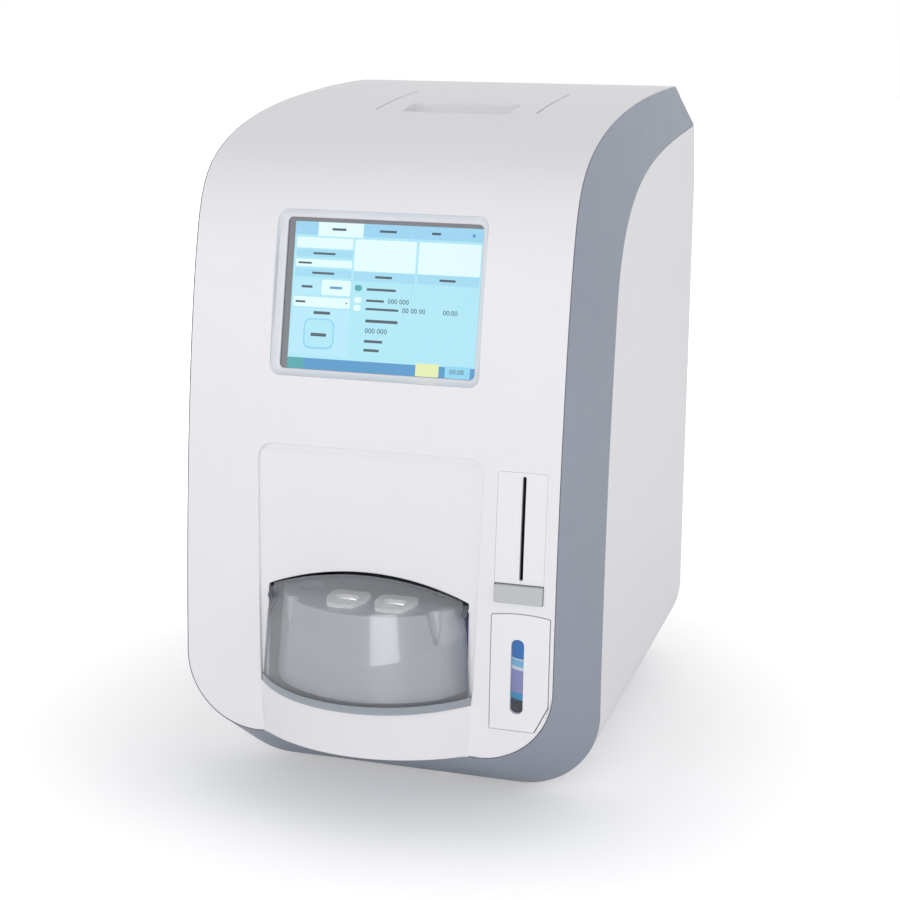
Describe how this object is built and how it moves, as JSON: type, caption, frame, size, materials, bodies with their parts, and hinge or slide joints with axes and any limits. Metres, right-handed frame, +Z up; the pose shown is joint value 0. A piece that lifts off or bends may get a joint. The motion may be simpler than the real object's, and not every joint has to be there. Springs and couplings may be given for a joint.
{
  "type": "coagulation analyzer",
  "caption": "Benchtop blood coagulation analyzer with a tilted touch screen, a sample carousel under a hinged clear cover, a printer door and a reagent door",
  "frame": {"origin": "centre of the footprint, on the plane that the feet stand on", "axes": "+Z up; the touch screen, the carousel cover and the two doors face -Y; +X is to the right of a person who faces the screen"},
  "size_m": [0.252, 0.372, 0.4153],
  "materials": {
    "white_plastic": "satin moulded white plastic",
    "side_plastic": "satin off-white plastic",
    "band_plastic": "satin blue-grey plastic",
    "grey_plastic": "satin grey plastic",
    "light_plastic": "satin light grey plastic",
    "screen_glass": "glossy touch panel over a lit display",
    "clear_plastic": "clear, slightly smoked plastic",
    "black_plastic": "matt black plastic",
    "steel": "machined steel",
    "aluminium": "machined aluminium",
    "zinc_sheet": "zinc-plated steel sheet",
    "brass": "turned brass",
    "board_green": "green circuit board lacquer",
    "rubber": "black rubber",
    "paper": null,
    "bottle_plastic": "pale blue polyethylene",
    "cap_plastic": "blue screw cap plastic"
  },
  "bodies": {
    "housing": {"front_cover": "white_plastic", "cover_pin_left": "steel", "cover_pin_right": "steel", "rear_panel": "white_plastic", "grip_plate": "white_plastic", "side_panel_left": "side_plastic", "side_panel_right": "side_plastic", "base_tray": "side_plastic", "band_frame": "band_plastic", "foot_front_left": "rubber", "foot_front_right": "rubber", "foot_rear_left": "rubber", "foot_rear_right": "rubber", "foot_front_middle": "white_plastic", "touch_glass": "screen_glass", "lcd_module": "aluminium", "lcd_bracket": "zinc_sheet", "chassis": "zinc_sheet", "carousel_bearing": "brass", "carousel_motor": "black_plastic", "drive_belt": "rubber", "incubator_plate": "aluminium", "head_column": "aluminium", "head_motor": "black_plastic", "vacuum_pump": "black_plastic", "valve_block": "light_plastic", "vacuum_tube": "clear_plastic", "dispenser_drive": "black_plastic", "syringe_barrel": "clear_plastic", "reagent_tube": "clear_plastic", "bottle_holder": "black_plastic", "printer_body": "black_plastic", "paper_spindle": "light_plastic", "main_board": "board_green", "power_supply": "zinc_sheet", "fan_frame": "black_plastic", "power_inlet": "black_plastic", "data_port": "steel"},
    "carousel_cover": {"carousel_cover": "clear_plastic"},
    "carousel": {"carousel": "grey_plastic", "carousel_shaft": "steel", "carousel_pulley": "aluminium"},
    "motor_pulley": {"motor_pulley": "aluminium"},
    "cartridge_left": {"cartridge_left": "white_plastic"},
    "cartridge_right": {"cartridge_right": "white_plastic"},
    "printer_door": {"printer_door": "white_plastic"},
    "release_bar": {"release_bar": "light_plastic"},
    "paper_roll": {"paper_roll": "paper"},
    "platen_roller": {"platen_roller": "rubber"},
    "reagent_door": {"reagent_door": "white_plastic", "door_window": "clear_plastic"},
    "reagent_bottle": {"reagent_bottle": "bottle_plastic"},
    "bottle_cap": {"bottle_cap": "cap_plastic"},
    "head_carriage": {"head_carriage": "light_plastic"},
    "head_screw": {"head_screw": "steel"},
    "syringe_plunger": {"syringe_plunger": "light_plastic"},
    "fan_rotor": {"fan_rotor": "black_plastic"},
    "power_switch": {"power_switch": "black_plastic"}
  },
  "joints": [
    {"name": "carousel_cover_tilt", "type": "hinge", "parent": "housing", "child": "carousel_cover", "pos_m": [0, -0.14611, 0.1375], "axis": [-1, 0, 0], "range_deg": [0, 38]},
    {"name": "carousel_turn", "type": "hinge", "parent": "housing", "child": "carousel", "pos_m": [0, -0.1125, 0.086], "axis": [0, 0, 1], "continuous": true},
    {"name": "motor_pulley_turn", "type": "hinge", "parent": "housing", "child": "motor_pulley", "pos_m": [-0.082, -0.01, 0.044], "axis": [0, 0, 1], "continuous": true},
    {"name": "cartridge_left_lift", "type": "slide", "parent": "carousel", "child": "cartridge_left", "axis": [0, 0, 1], "range_m": [0, 0.0008]},
    {"name": "cartridge_right_lift", "type": "slide", "parent": "carousel", "child": "cartridge_right", "axis": [0, 0, 1], "range_m": [0, 0.0008]},
    {"name": "printer_door_tilt", "type": "hinge", "parent": "housing", "child": "printer_door", "pos_m": [0.0925, -0.14211, 0.2207], "axis": [-1, 0, 0], "range_deg": [0, 75]},
    {"name": "release_bar_push", "type": "slide", "parent": "housing", "child": "release_bar", "axis": [0, 1, 0], "range_m": [0, 0.002], "stiffness_N_per_m": 800},
    {"name": "paper_roll_turn", "type": "hinge", "parent": "housing", "child": "paper_roll", "pos_m": [0.0915, -0.11, 0.1588], "axis": [0, 0, 1], "continuous": true},
    {"name": "platen_roller_turn", "type": "hinge", "parent": "housing", "child": "platen_roller", "pos_m": [0.0883, -0.131, 0.1588], "axis": [0, 0, 1], "continuous": true},
    {"name": "reagent_door_swing", "type": "hinge", "parent": "housing", "child": "reagent_door", "pos_m": [0.076, -0.15364, 0.07], "axis": [0, 0, -1], "range_deg": [0, 95]},
    {"name": "reagent_bottle_lift", "type": "slide", "parent": "housing", "child": "reagent_bottle", "axis": [0, 0, 1], "range_m": [0, 0.01]},
    {"name": "bottle_cap_turn", "type": "hinge", "parent": "reagent_bottle", "child": "bottle_cap", "pos_m": [0.091, -0.12, 0.1274], "axis": [0, 0, 1], "continuous": true},
    {"name": "head_carriage_lower", "type": "slide", "parent": "housing", "child": "head_carriage", "axis": [0, 0, -1], "range_m": [0, 0.02]},
    {"name": "head_screw_turn", "type": "hinge", "parent": "housing", "child": "head_screw", "pos_m": [0, -0.028, 0.0663], "axis": [0, 0, 1], "range_deg": [0, 1800]},
    {"name": "syringe_plunger_draw", "type": "slide", "parent": "housing", "child": "syringe_plunger", "axis": [0, 0, 1], "range_m": [0, 0.03]},
    {"name": "fan_rotor_spin", "type": "hinge", "parent": "housing", "child": "fan_rotor", "pos_m": [0.055, 0.1702, 0.23], "axis": [0, 1, 0], "continuous": true},
    {"name": "power_switch_rock", "type": "hinge", "parent": "housing", "child": "power_switch", "pos_m": [-0.082, 0.18, 0.0565], "axis": [1, 0, 0], "range_deg": [-8, 8]}
  ],
  "couplings": [
    {"joint": "motor_pulley_turn", "follows": "carousel_turn", "ratio": 1.75},
    {"joint": "platen_roller_turn", "follows": "paper_roll_turn", "ratio": -3.2143},
    {"joint": "head_screw_turn", "follows": "head_carriage_lower", "rad_per_m": 1570.8}
  ]
}
